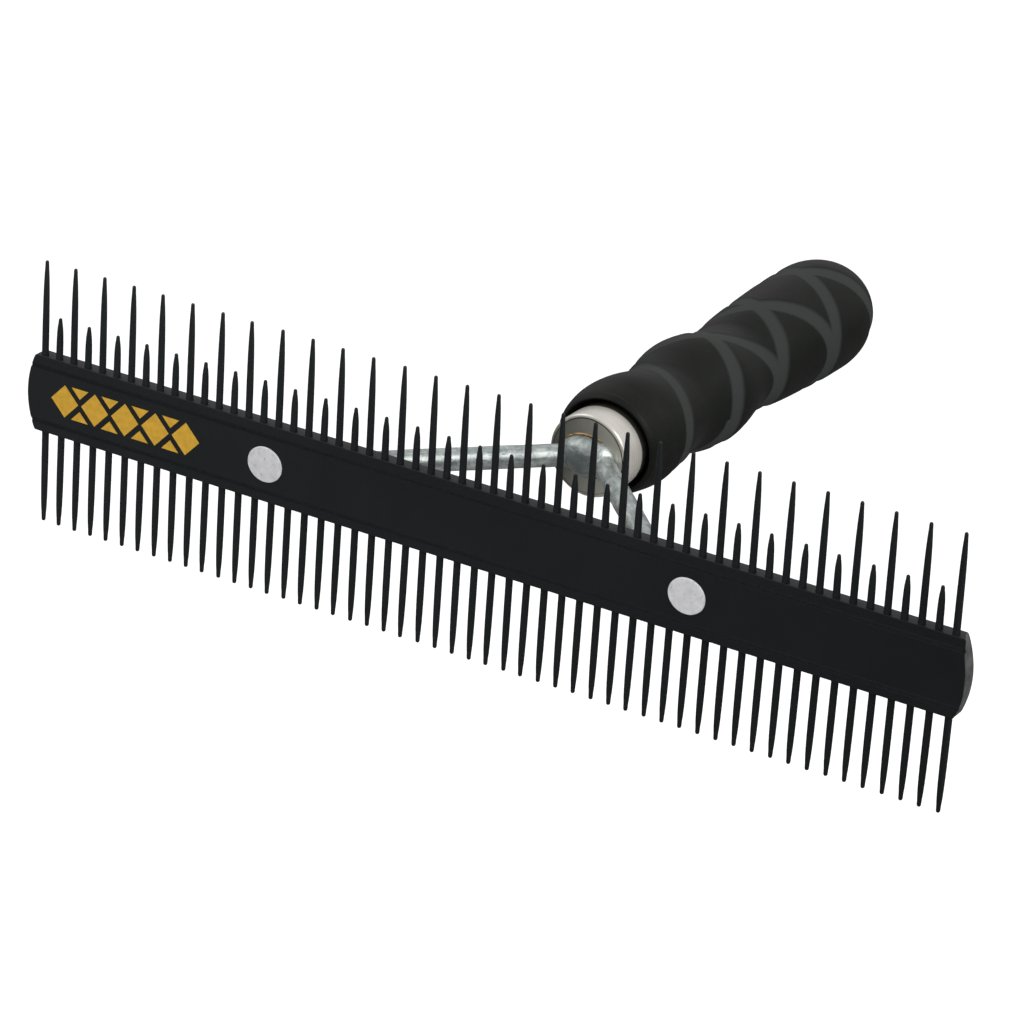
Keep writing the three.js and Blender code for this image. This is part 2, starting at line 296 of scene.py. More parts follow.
class Nodes:
    """A short way to write a material's node tree."""

    def __init__(self, name):
        self.material = bpy.data.materials.new(name)
        self.material.use_nodes = True
        self.tree = self.material.node_tree
        self.shader = next(n for n in self.tree.nodes if n.type == "BSDF_PRINCIPLED")
        self.place = self.add("ShaderNodeTexCoord").outputs["Object"]

    def add(self, kind, **values):
        node = self.tree.nodes.new(kind)
        for key, value in values.items():
            setattr(node, key, value)
        return node

    def link(self, source, target):
        self.tree.links.new(source, target)

    def stretched(self, scale):
        node = self.add("ShaderNodeMapping")
        node.inputs["Scale"].default_value = scale
        self.link(self.place, node.inputs["Vector"])
        return node.outputs[0]

    def noise(self, scale, detail=4.0, rough=0.55, vector=None, distortion=0.0):
        node = self.add("ShaderNodeTexNoise")
        node.inputs["Scale"].default_value = scale
        node.inputs["Detail"].default_value = detail
        node.inputs["Roughness"].default_value = rough
        node.inputs["Distortion"].default_value = distortion
        self.link(vector or self.place, node.inputs["Vector"])
        return node.outputs["Fac"]

    def ramp(self, source, stops):
        node = self.add("ShaderNodeValToRGB")
        elements = node.color_ramp.elements
        while len(elements) < len(stops):
            elements.new(0.5)
        for element, (at, colour) in zip(elements, stops):
            element.position = at
            grey = colour if isinstance(colour, (tuple, list)) else (colour,) * 3
            element.color = (*grey, 1.0)
        self.link(source, node.inputs["Fac"])
        return node.outputs["Color"]

    def remap(self, source, low, high, to_low, to_high):
        node = self.add("ShaderNodeMapRange")
        names = ("From Min", "From Max", "To Min", "To Max")
        for key, value in zip(names, (low, high, to_low, to_high)):
            node.inputs[key].default_value = value
        self.link(source, node.inputs["Value"])
        return node.outputs["Result"]

    def mix(self, factor, a, b):
        node = self.add("ShaderNodeMix", data_type="RGBA")
        for socket, value in ((node.inputs[0], factor), (node.inputs[6], a), (node.inputs[7], b)):
            if isinstance(value, bpy.types.NodeSocket):
                self.link(value, socket)
            elif isinstance(value, (tuple, list)):
                socket.default_value = (*value, 1.0)
            else:
                socket.default_value = value
        return node.outputs[2]

    def maths(self, operation, a, b):
        node = self.add("ShaderNodeMath", operation=operation)
        for socket, value in zip(node.inputs, (a, b)):
            if isinstance(value, bpy.types.NodeSocket):
                self.link(value, socket)
            else:
                socket.default_value = value
        return node.outputs[0]

    def attribute(self, name):
        return self.add("ShaderNodeAttribute", attribute_name=name).outputs["Fac"]

    def bump(self, height, distance, strength=1.0):
        node = self.add("ShaderNodeBump")
        node.inputs["Distance"].default_value = distance
        node.inputs["Strength"].default_value = strength
        self.link(height, node.inputs["Height"])
        previous = self.shader.inputs["Normal"]
        if previous.is_linked:
            self.link(previous.links[0].from_socket, node.inputs["Normal"])
        self.link(node.outputs[0], previous)

    def set(self, **values):
        names = {
            "colour": "Base Color",
            "rough": "Roughness",
            "metal": "Metallic",
            "specular": "Specular IOR Level",
        }
        for key, value in values.items():
            socket = self.shader.inputs[names[key]]
            if isinstance(value, bpy.types.NodeSocket):
                self.link(value, socket)
            elif key == "colour":
                socket.default_value = (*value, 1.0)
            else:
                socket.default_value = value


def coating_material():
    """The coating, painted a little darker towards the right as painted shade, and painted lighter in scuffed
    patches where "wear" is 1: painted light on the end faces, together with scuffs.
    """
    m = Nodes("coated_casting")
    broad = m.noise(45, 3)
    grain = m.noise(2600, 4, 0.6)
    colour = m.ramp(broad, [(0.3, (0.0074, 0.0096, 0.0107)), (0.7, (0.0102, 0.0126, 0.0137))])
    speck = m.ramp(grain, [(0.45, 0.0), (0.75, 1.0)])
    colour = m.mix(m.maths("MULTIPLY", speck, 0.35), colour, (0.018, 0.020, 0.022))
    # painted shade: the colour darkens towards +x, for the light falling off to the right
    split = m.add("ShaderNodeSeparateXYZ")
    m.link(m.place, split.inputs[0])
    darker = m.remap(split.outputs[0], -0.11, 0.11, 0.0, 0.5)
    colour = m.mix(darker, colour, (0.0015, 0.0018, 0.0020))
    # painted light: where "wear" is 1 the colour is painted lighter in scuffed patches, for light on the end
    # faces together with scuffs
    scuff_and_end_light = m.ramp(m.noise(420, 4, 0.6), [(0.35, 0.45), (0.65, 1.0)])
    m.set(colour=m.mix(m.maths("MULTIPLY", m.attribute("wear"), scuff_and_end_light), colour, (0.066, 0.066, 0.066)))
    m.set(rough=m.remap(grain, 0.3, 0.7, 0.40, 0.55), metal=0.0, specular=0.18)
    m.bump(grain, 0.00003, 0.5)
    m.bump(m.noise(300, 3), 0.00012, 0.35)
    return m.material


# painted shade: a matt, dark skin with little sheen, laid in each channel to stand for the shade there
def channel_shade_material():
    m = Nodes("channel_shade_skin")
    grain = m.noise(1500, 4, 0.6)
    m.set(colour=m.ramp(grain, [(0.3, (0.0068, 0.0086, 0.0096)), (0.7, (0.0110, 0.0130, 0.0140))]))
    m.set(rough=m.remap(grain, 0.3, 0.7, 0.7, 0.9), specular=0.08)
    m.bump(m.noise(260, 3), 0.0002, 0.4)
    return m.material


def rivet_material():
    m = Nodes("rivet_metal")
    blotch = m.noise(520, 5, 0.65, distortion=0.6)
    fine = m.noise(3200, 4, 0.6)
    greys = [(0.3, (0.52, 0.52, 0.54)), (0.5, (0.62, 0.62, 0.64)), (0.7, (0.68, 0.68, 0.70))]
    colour = m.ramp(blotch, greys)
    pits = m.ramp(m.noise(1500, 3, 0.5), [(0.28, 1.0), (0.36, 0.0)])
    m.set(colour=m.mix(m.maths("MULTIPLY", pits, 0.5), colour, (0.16, 0.16, 0.17)))
    m.set(rough=m.remap(fine, 0.3, 0.7, 0.48, 0.66), metal=0.35)
    m.bump(blotch, 0.00010, 0.6)
    m.bump(fine, 0.00003, 0.5)
    return m.material


def zinc_material():
    m = Nodes("zinc_rod")
    split = m.add("ShaderNodeSeparateXYZ")
    m.link(m.place, split.inputs[0])
    folded = m.add("ShaderNodeCombineXYZ")
    m.link(m.maths("ABSOLUTE", split.outputs[0], 0.0), folded.inputs[0])
    m.link(split.outputs[1], folded.inputs[1])
    m.link(split.outputs[2], folded.inputs[2])
    drawn = m.add("ShaderNodeMapping", vector_type="TEXTURE")
    rise, run = LEG_APEX[1] - LEG_FOOT[1], LEG_APEX[0] - LEG_FOOT[0]
    drawn.inputs["Rotation"].default_value = (0, 0, math.atan2(rise, run))
    drawn.inputs["Scale"].default_value = (1 / 110, 1 / 620, 1 / 620)
    m.link(folded.outputs[0], drawn.inputs["Vector"])
    streak = m.noise(1.0, 5, 0.6, vector=drawn.outputs[0], distortion=0.7)
    blotch = m.noise(230, 5, 0.62, distortion=0.9)
    fine = m.noise(1900, 4, 0.6)
    tone = m.maths("MULTIPLY", m.maths("ADD", streak, blotch), 0.5)
    greys = [(0.36, (0.14, 0.165, 0.165)), (0.5, (0.29, 0.32, 0.31)), (0.62, (0.50, 0.53, 0.51))]
    colour = m.ramp(tone, greys)
    # painted shade: thin dark lines painted in a crease pattern, with no dent under them
    painted_crease_shade = m.ramp(m.noise(170, 2, 0.4, distortion=2.2), [(0.485, 0.0), (0.5, 1.0), (0.515, 0.0)])
    colour = m.mix(m.maths("MULTIPLY", painted_crease_shade, 0.5), colour, (0.05, 0.06, 0.06))
    # darkens the colour in a patch on the hub's lower front
    hub_dark_patch = m.maths("MULTIPLY", m.attribute("hub_dark_patch"), m.remap(blotch, 0.3, 0.6, 0.5, 0.95))
    m.set(colour=m.mix(hub_dark_patch, colour, (0.085, 0.105, 0.105)), metal=0.55)
    m.set(rough=m.remap(streak, 0.3, 0.7, 0.24, 0.48))
    m.bump(streak, 0.00025, 0.5)
    m.bump(m.noise(380, 4, 0.55, distortion=0.5), 0.00028, 0.5)
    m.bump(fine, 0.00004, 0.4)
    return m.material


def braze_material():
    m = Nodes("braze")
    blotch = m.noise(900, 4)
    m.set(colour=m.ramp(blotch, [(0.3, (0.13, 0.085, 0.04)), (0.7, (0.36, 0.25, 0.13))]), metal=0.6)
    m.set(rough=m.remap(blotch, 0.3, 0.7, 0.28, 0.45))
    m.bump(m.noise(1400, 3), 0.0001, 0.5)
    return m.material


def nickel_material():
    """The "tone" attribute is 0 on bright plating, 0.5 on the face, and 1 where it is darkest."""
    m = Nodes("ferrule_nickel")
    tone = m.attribute("tone")
    haze = m.noise(180, 3)
    rings = m.noise(1.0, 2, 0.5, vector=m.stretched((40, 5200, 40)))
    side = m.ramp(haze, [(0.3, (0.44, 0.42, 0.385)), (0.7, (0.49, 0.47, 0.43))])
    # painted reflection: the face is painted darker than the side, and darker still towards -x
    split = m.add("ShaderNodeSeparateXYZ")
    m.link(m.place, split.inputs[0])
    across = m.maths("ADD", split.outputs[0], m.maths("MULTIPLY", haze, 0.002))
    shade = m.remap(across, -0.006, 0.008, 0.0, 1.0)
    greys = [(0.0, (0.13, 0.128, 0.108)), (0.6, (0.36, 0.355, 0.31)), (1.0, (0.50, 0.49, 0.43))]
    face = m.ramp(shade, greys)
    # painted shade: where "tone" is above 0.5 the colour goes near-black, in the seam line and the band
    # before the mouth
    seam_and_painted_shade = m.maths("MULTIPLY", m.maths("SUBTRACT", tone, 0.5), 2.0)
    colour = m.mix(m.maths("MINIMUM", m.maths("MULTIPLY", tone, 2.0), 1.0), side, face)
    m.set(colour=m.mix(m.maths("MAXIMUM", seam_and_painted_shade, 0.0), colour, (0.03, 0.028, 0.024)), metal=0.5)
    m.set(rough=m.remap(rings, 0.3, 0.7, 0.27, 0.32))
    m.bump(rings, 0.000001, 0.15)
    return m.material


def wood_material():
    m = Nodes("core_wood")
    grain = m.noise(1.0, 4, 0.6, vector=m.stretched((600, 40, 600)), distortion=1.2)
    m.set(colour=m.ramp(grain, [(0.3, (0.30, 0.17, 0.08)), (0.7, (0.56, 0.37, 0.20))]))
    m.set(rough=m.remap(grain, 0.3, 0.7, 0.6, 0.8))
    m.bump(grain, 0.0002, 0.4)
    return m.material


def rubber_material():
    m = Nodes("grip_rubber")
    band = m.attribute("band")
    broad = m.noise(70, 4, 0.6)
    fine = m.noise(1800, 5, 0.65)
    pad = m.ramp(broad, [(0.3, (0.0042, 0.0050, 0.0042)), (0.7, (0.0078, 0.0086, 0.0074))])
    dust = m.ramp(fine, [(0.52, 0.0), (0.8, 1.0)])
    pad = m.mix(m.maths("MULTIPLY", dust, 0.25), pad, (0.020, 0.021, 0.019))
    # painted sheen: the grooves are painted lighter than the pads, standing in for their sheen
    m.set(colour=m.mix(band, pad, (0.024, 0.026, 0.026)))
    m.set(rough=m.remap(band, 0.0, 1.0, 0.46, 0.60), specular=0.08)
    m.bump(fine, 0.00006, 0.35)
    m.bump(m.noise(240, 4), 0.0002, 0.25)
    return m.material


def gold_material():
    m = Nodes("gold_print")
    wear = m.noise(700, 4)
    m.set(colour=m.ramp(wear, [(0.3, (0.46, 0.250, 0.010)), (0.7, (0.58, 0.325, 0.016))]), metal=0.1)
    m.set(rough=m.remap(wear, 0.3, 0.7, 0.38, 0.55))
    m.bump(m.noise(2400, 3), 0.00002, 0.5)
    return m.material


# --- Comb casting ---


def bar_end(z, side, front=False):
    """How far the bar reaches along x at a height, on the left (-1) or right (1)."""
    middle, half = (BAR_TOP + BAR_BOTTOM) / 2, (BAR_TOP - BAR_BOTTOM) / 2
    off = abs(z - middle)
    arc = BAR_BULGE * (1 - (off / half) ** 2)
    if front and side > 0:
        arc = max(arc, BAR_SQUARE if z > middle else BAR_BULGE * (1 - (off / half) ** 3))
    arc -= max(0.0, off - half + BAR_CUT)
    return BAR_RIGHT + arc if side > 0 else BAR_LEFT - arc


def channel_line(high, low):
    """(z, y) across one channel, deepest near its lower edge."""
    shape = ((0.0, 0.0), (0.15, 0.1), (0.4, 0.5), (0.65, 0.85), (0.8, 1.0), (0.9, 0.8), (1.0, 0.0))
    return [(high + (low - high) * share, GROOVE_DEPTH * depth) for share, depth in shape]


def bar_section():
    """(z, front y, back y) from the bar's bottom land to its top land."""
    rows = [(z, 0.0, BAR_DEPTH) for z in np.linspace(-5.6, 5.6, 15)]
    for high, low in GROOVES:
        rows += [(z, y, BAR_DEPTH) for z, y in channel_line(high, low)]
    flats = (-8.6, -8.0, -7.5, -7.07, -5.78, 5.78, 7.07, 7.5, 8.1, 8.85)
    rows += [(z, 0.0, BAR_DEPTH) for z in flats]
    for t in np.linspace(0.15, 1, 6):
        a = t * math.pi / 2
        rise, inward = LIP_ROUND * (1 - math.sin(a)), LIP_ROUND * (1 - math.cos(a))
        rows.append((BAR_TOP - rise, inward, BAR_DEPTH - inward))
        rows.append((BAR_BOTTOM + rise, inward, BAR_DEPTH - inward))
    return sorted(rows)


def comb_bar(material):
    rows = bar_section()
    stations = []
    for t in np.linspace(0, 1, 5):
        a = t * math.pi / 2
        stations.append((1 - math.sin(a), 1 - math.cos(a)))
    # "wear" is 1 on the end faces, which the coating paints lighter: painted light together with scuffs
    verts, rings, wear = [], [], []

    def ring(side, back_off, shrink, share=1.0, end_light_and_wear=1.0):
        ids = []
        for which in (1, 2):
            for row in rows:
                z, depth = row[0], row[which]
                x = (bar_end(z, side, which == 1) - side * END_ROUND * back_off) * share
                y = depth + (END_ROUND * shrink if which == 1 else -END_ROUND * shrink)
                ids.append(len(verts))
                verts.append((x, y, z * (1 - END_ROUND * shrink / BAR_TOP)))
        wear.extend([end_light_and_wear] * len(ids))
        return ids

    for back_off, shrink in stations[::-1]:
        rings.append(ring(-1, back_off, shrink))
    for share in (-0.9995, *np.linspace(-0.98, 0.98, 61), 0.9995):
        rings.append(ring(1 if share > 0 else -1, 1, 0, abs(share), 0.0))
    for back_off, shrink in stations:
        rings.append(ring(1, back_off, shrink))
    faces, n = [], len(rows)
    loop = list(range(n)) + list(range(2 * n - 1, n - 1, -1))
    for low, high in zip(rings, rings[1:]):
        for i, j in zip(loop, loop[1:] + loop[:1]):
            faces.append([low[i], low[j], high[j], high[i]])
    for end in (rings[0], rings[-1]):
        for i in range(n - 1):
            faces.append([end[i], end[i + 1], end[n + i + 1], end[n + i]])
    obj = piece("comb_bar", verts, faces, material, ("comb_casting",), "coated_casting", sharp=30)
    paint(obj, "wear", wear)


def channel(name, edges, material):
    """The skin of one channel of the bar: a matt, dark skin laid in as painted shade for the channel."""
    line = channel_line(*edges)
    outer = [(z, y - min(0.02, y)) for z, y in line]
    section = outer + [(z, y + 0.05) for z, y in line[::-1]]
    verts, faces, n = [], [], len(section)
    spans = 40
    for share in np.linspace(-1, 1, spans + 1):
        side = 1 if share > 0 else -1
        for z, y in section:
            verts.append(((bar_end(z, side) - side * END_ROUND * 1.2) * abs(share), y, z))
    for i in range(spans):
        for k in range(n):
            m = (k + 1) % n
            faces.append([i * n + k, i * n + m, (i + 1) * n + m, (i + 1) * n + k])
    faces.append(list(range(n))[::-1])
    faces.append([spans * n + k for k in range(n)])
    piece(name, verts, faces, material, (), "coated_casting", sharp=30)


def tooth_rows(tip, widths):
    """(height, radius) of one tooth from inside the bar to its tip."""
    length, base = tip - TOOTH_ROOT, widths[0][1]
    wide = base * 1.06
    rows = [(TOOTH_ROOT - 0.8, wide), (TOOTH_ROOT + 0.15, wide), (TOOTH_ROOT + 0.8, base)]
    rows += [(TOOTH_ROOT + 1.8 + (length - 2.5) * share, radius) for share, radius in widths]
    top = widths[-1][1] * 0.9
    for t in (0.0, 0.35, 0.65, 0.88):
        a = t * math.pi / 2
        rows.append((tip - 0.40 + 0.40 * math.sin(a), top * math.cos(a)))
    return rows


def comb_teeth(name, count, tips, side, widths, drift, forward, material, seed):
    """One row of teeth: forward is how far its roots stand in front of the bar's middle."""
    chance = random.Random(seed)
    verts, faces, sides = [], [], TOOTH_SIDES
    for i in range(count):
        x = (i / (count - 1) - 0.5) * TOOTH_SPAN + drift[0]
        lean = drift[1] - drift[0] + chance.uniform(-TOOTH_STRAY, TOOTH_STRAY)
        bow = chance.uniform(-TOOTH_STRAY, TOOTH_STRAY)
        tip = tips[i % len(tips)] - chance.uniform(0.0, TOOTH_WORN)
        rows = tooth_rows(tip, widths)
        start = len(verts)
        for z, radius in rows:
            share = max(0.0, (z - TOOTH_ROOT) / (tip - TOOTH_ROOT))
            for k in range(sides):
                a = 2 * math.pi * k / sides
                verts.append((
                    x + lean * share + radius * math.cos(a),
                    BAR_DEPTH / 2 + bow * share - forward * (1 - share) + radius * math.sin(a),
                    side * z,
                ))
        for r in range(len(rows) - 1):
            for k in range(sides):
                m = (k + 1) % sides
                a, b = start + r * sides, start + (r + 1) * sides
                faces.append([a + k, a + m, b + m, b + k])
        faces.append([start + k for k in range(sides)][::-1])
        last = start + (len(rows) - 1) * sides
        verts.append((x + lean, BAR_DEPTH / 2 + bow, side * tip))
        for k in range(sides):
            faces.append([last + k, last + (k + 1) % sides, len(verts) - 1])
    piece(name, verts, faces, material, (), "coated_casting", sharp=60)


def gold_mark(material):
    """A plain ornament in place of a maker's print: lozenges with half lozenges between them."""
    verts, faces = [], []

    def tile(corners):
        start, n = len(verts), len(corners)
        for y in (-GOLD_LIFT, GOLD_LIFT / 2):
            verts.extend((x, y, z) for x, z in corners)
        faces.append([start + k for k in range(n)])
        faces.append([start + n + k for k in range(n)][::-1])
        for k in range(n):
            m = (k + 1) % n
            faces.append([start + k, start + m, start + n + m, start + n + k])

    across = GOLD_PITCH * 0.45
    for k in range(GOLD_COUNT):
        x = GOLD_MIDDLE + (k - (GOLD_COUNT - 1) / 2) * GOLD_PITCH
        tile([(x - across, 0), (x, -GOLD_TOP), (x + across, 0), (x, GOLD_TOP)])
    for k in range(GOLD_COUNT - 1):
        x = GOLD_MIDDLE + (k - GOLD_COUNT / 2 + 1) * GOLD_PITCH
        for side in (-1, 1):
            edge = GOLD_TOP * side
            tile([(x - across * 0.62, edge), (x, edge * 0.38), (x + across * 0.62, edge)])
    piece("gold_print", verts, faces, material, (), "gold_print", sharp=20)


# --- Rivets ---


def rivet(name, material, node):
    lo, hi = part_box(node)
    middle = (lo + hi) / 2 / MM
    front, back = lo.y / MM, hi.y / MM
    head, tail, shank, tail_base = RIVET_HEAD, RIVET_TAIL, RIVET_SHANK, BAR_DEPTH + RIVET_SEAT
    profile = [(0, front + 0.02)]
    profile += [(r, front + 0.02 + 0.05 * (r / head) ** 4) for r in np.linspace(0.5, head - 0.35, 8)]
    for t in np.linspace(0.1, 1, 6):
        a = t * math.pi / 2
        profile.append((head - 0.3 + 0.3 * math.sin(a), front + 0.35 - 0.28 * math.cos(a)))
    profile += [(head, 0.45), (shank, 0.45), (shank, tail_base)]
    profile += [(tail - 0.15, tail_base), (tail, tail_base + 0.2)]
    for t in np.linspace(0.12, 0.95, 9):
        a = t * math.pi / 2
        profile.append((tail * math.cos(a), tail_base + 0.2 + (back - tail_base - 0.2) * math.sin(a)))
    profile.append((0, back))
    verts, faces = lathe(profile, RIVET_SIDES)
    moved = []
    for x, y, z in verts:
        dent = 0.035 * noise.noise(Vector((x * 0.9 + middle.x, y * 0.6, z * 0.9)))
        wide, high = RIVET_OVAL if y < tail_base / 2 else (1, 1)
        y += dent if y < 0 else dent * 2 if y > tail_base else 0
        moved.append((x * wide + middle.x, y + 0.02, z * high - (1 - high) * 3))
    piece(name, moved, faces, material, (node,), "rivet_metal", sharp=35)


# --- Yoke ---


def leg_path():
    """Rows (x, y, z, half thickness, half height) from the tab's outer end to the apex."""
    foot, apex = Vector(LEG_FOOT), Vector(LEG_APEX)
    rows = [(x, y, 0.0, thick, high) for x, y, thick, high in TAB_STATIONS]
    for t in (0.15, 0.3, 0.5, 0.7, 0.85, 0.95, 1.02):
        p = foot.lerp(apex, t)
        rows.append((p.x, p.y, p.z, ROD_RADIUS, ROD_RADIUS))
    return catmull(rows, 8)


def ellipsoid(centre, radii, rings=18, around=32):
    verts, faces = [], []
    for i in range(rings + 1):
        a = math.pi * i / rings
        for k in range(around):
            b = 2 * math.pi * k / around
            way = (math.sin(a) * math.cos(b), math.cos(a), math.sin(a) * math.sin(b))
            verts.append(tuple(c + r * w for c, r, w in zip(centre, radii, way)))
    for i in range(rings):
        for k in range(around):
            m = (k + 1) % around
            low, high = i * around, (i + 1) * around
            faces.append([low + k, low + m, high + m, high + k])
    return verts, faces


def yoke(material):
    """Both legs and the hub, run together as one welded skin."""
    path = leg_path()
    mirrored = path * np.array([-1, 1, 1, 1, 1])
    verts, faces = [], []
    parts = [sweep(path, (0, 0, 1)), sweep(mirrored, (0, 0, 1)), ellipsoid(HUB_CENTRE, HUB_RADII)]
    for points, polygons in parts:
        start = len(verts)
        verts += points
        faces += [[i + start for i in f] for f in polygons]
    mesh = bpy.data.meshes.new("yoke_rough")
    mesh.from_pydata([Vector(v) * MM for v in verts], [], faces)
    bm = bmesh.new()
    bm.from_mesh(mesh)
    bmesh.ops.remove_doubles(bm, verts=bm.verts, dist=1e-7)
    bmesh.ops.recalc_face_normals(bm, faces=bm.faces)
    bm.to_mesh(mesh)
    bm.free()
    rough = bpy.data.objects.new("yoke_rough", mesh)
    bpy.context.scene.collection.objects.link(rough)
    remesh = rough.modifiers.new("voxels", "REMESH")
    remesh.mode = "VOXEL"
    remesh.voxel_size = YOKE_VOXEL * MM
    soften = rough.modifiers.new("soften", "SMOOTH")
    soften.factor = 0.5
    soften.iterations = YOKE_SMOOTHING
    depsgraph = bpy.context.evaluated_depsgraph_get()
    made = bpy.data.meshes.new_from_object(rough.evaluated_get(depsgraph))
    bpy.data.objects.remove(rough)
    count = len(made.vertices)
    points, normals = np.empty(count * 3, np.float32), np.empty(count * 3, np.float32)
    made.vertices.foreach_get("co", points)
    made.vertices.foreach_get("normal", normals)
    points, normals = points.reshape(-1, 3) / MM, normals.reshape(-1, 3)
    from_hub = np.linalg.norm(points - np.array(HUB_CENTRE), axis=1)
    near = np.exp(-((from_hub / 7.5) ** 2))
    fine = np.array([noise.noise(Vector(p) * 0.25) for p in points])
    lumps = np.array([noise.noise(Vector(p) * 0.42 + Vector((3, 7, 1))) for p in points])
    points += normals * (0.07 * fine + 0.32 * near * lumps)[:, None]
    points[:, 1] = np.minimum(points[:, 1], FERRULE_FACE + 0.3)
    outside = np.abs(points[:, 0]) > TAB_STATIONS[-1][0]
    points[:, 1] = np.where(outside, np.maximum(points[:, 1], BAR_DEPTH + 0.06), points[:, 1])
    made.vertices.foreach_set("co", (points * MM).astype(np.float32).ravel())
    made.name = "yoke"
    nodes = ("yoke_left_leg", "yoke_right_leg", "yoke_hub_and_tang")
    obj = place("yoke", made, material, nodes, "zinc_rod", sharp=70)
    dark = np.exp(-((np.linalg.norm(points - np.array(DARK_PATCH_CENTRE), axis=1) / DARK_PATCH_REACH) ** 2))
    paint(obj, "hub_dark_patch", dark)


def braze_bead(name, node, start, end, material):
    """A small uneven bead where the hub meets the ferrule's face."""
    steps = 60
    path = []
    for i in range(steps + 1):
        t = i / steps
        a = math.radians(start + (end - start) * t)
        fade = math.sin(math.pi * t) ** 0.5
        width = (0.15 + 0.25 * fade) * (1 + 0.3 * noise.noise(Vector((t * 9, start, 0))))
        path.append((
            HUB_CENTRE[0] + (HUB_RADII[0] - 0.2) * math.cos(a),
            FERRULE_FACE - 0.05,
            HUB_CENTRE[2] + (HUB_RADII[2] + 0.1) * math.sin(a),
            width,
            width,
        ))
    verts, faces = sweep(np.array(path), (0, 1, 0), 12)
    piece(name, verts, faces, material, (node,), "braze")


# --- Handle ---


def mouth_skew(at, along):
    """How far the sleeve's mouth lies back along the handle at an angle, fading out behind it."""
    start, end = MOUTH_FADE
    fade = np.clip((end - along) / (end - start), 0, 1)
    back = MOUTH_SKEW * (1 + np.sin(at - math.radians(MOUTH_ANGLE))) - MOUTH_LIFT
    return back * fade * fade * (3 - 2 * fade)


def ferrule(material):
    edge, bore = FERRULE_EDGE, FERRULE_BORE
    inner, back = FERRULE_RADIUS - FERRULE_WALL, FERRULE_FACE + FERRULE_WALL
    rim = FERRULE_RADIUS - edge
    profile = [(r, FERRULE_FACE + 0.05) for r in np.linspace(bore, rim - FERRULE_SEAM, 8)]
    tones = [0.5] * len(profile)
    seam_floor = FERRULE_FACE + 0.15
    profile += [(rim - FERRULE_SEAM + 0.04, seam_floor), (rim - 0.04, seam_floor)]
    tones += [1.0, 1.0]
    for t in np.linspace(0, 1, 9):
        a = t * math.pi / 2
        profile.append((rim + edge * math.sin(a), FERRULE_FACE + edge * (1 - math.cos(a))))
        tones.append(0.0)
    stops = (48.5, 50.0, 51.2, *np.arange(51.6, 54.5, 0.25), 58.0, FERRULE_END)
    profile += [(FERRULE_RADIUS, y) for y in stops]
    profile += [(inner, FERRULE_END), (inner, back), (bore, back)]
    tones += [0.0] * (len(profile) - len(tones))
    sides = FERRULE_SIDES
    verts, faces = lathe(profile, sides, closed=True)
    obj = piece("ferrule_shell", verts, faces, material, ("ferrule",), "ferrule_nickel", sharp=50)
    turn = np.arange(sides) * 2 * math.pi / sides
    # painted highlight: the rolled edge goes from the bright plating tone at this angle to the face's darker
    # tone away from it
    bright = np.clip(0.5 + np.cos(turn - math.radians(PAINTED_HIGHLIGHT_ANGLE)), 0, 1)
    tones, y = np.array(tones)[:, None], np.array([p[1] for p in profile])[:, None]
    edge_tone = np.where(tones == 0.5, 0.5, tones * bright + 0.5 * (1 - bright))
    shaded = np.clip((y - FERRULE_SHADE - mouth_skew(turn, y)) / 0.5, 0, 1)
    tones = np.where(y < FERRULE_FACE + edge + 0.01, edge_tone, shaded)
    paint(obj, "tone", tones)


def grip_outline():
    """Evenly spaced (radius, y) points of the grip's outer line, without the pole."""
    line = [tuple(p) for p in catmull(GRIP_LINE, 22)]
    for t in np.linspace(0, 1, 70)[1:-1]:
        a = t * math.pi / 2
        line.append((GRIP_REAR * math.cos(a), GRIP_DOME + (GRIP_END - GRIP_DOME) * math.sin(a)))
    line = np.array(line)
    along = np.concatenate([[0], np.cumsum(np.hypot(*np.diff(line, axis=0).T))])
    even = np.linspace(0, along[-1], int(along[-1] / GRIP_STEP))
    return np.stack([np.interp(even, along, line[:, k]) for k in (0, 1)], axis=1)


def groove(away):
    """1 in the middle of a moulded groove, 0 on a pad, by the distance from its middle line."""
    t = np.clip((away - BAND_HALF + BAND_EDGE / 2) / BAND_EDGE, 0, 1)
    return 1 - t * t * (3 - 2 * t)


def groove_map(theta, y, radius):
    """How much of each point lies in a groove. Tilted rings cross steeper links at the nodes.

    The links on the lower side only run out gently at the far end.
    """
    phase = theta - math.radians(NODE_ANGLE)
    slope = np.sin(phase) / np.maximum(radius, 3.0)
    best = np.zeros_like(y)
    for k, (middle, tilt) in enumerate((*LINKS, *RINGS)):
        away = np.abs(y - middle - tilt * np.cos(phase)) / np.hypot(1, tilt * slope)
        shown = groove(away)
        if k < LOWER_ONLY:
            near = (np.cos(phase) > 0) & (np.sin(phase) > 0)
            shown = shown * np.where(near, 1.0, np.clip(np.sin(phase) / 0.5, 0, 1))
        best = np.maximum(best, shown)
    return best


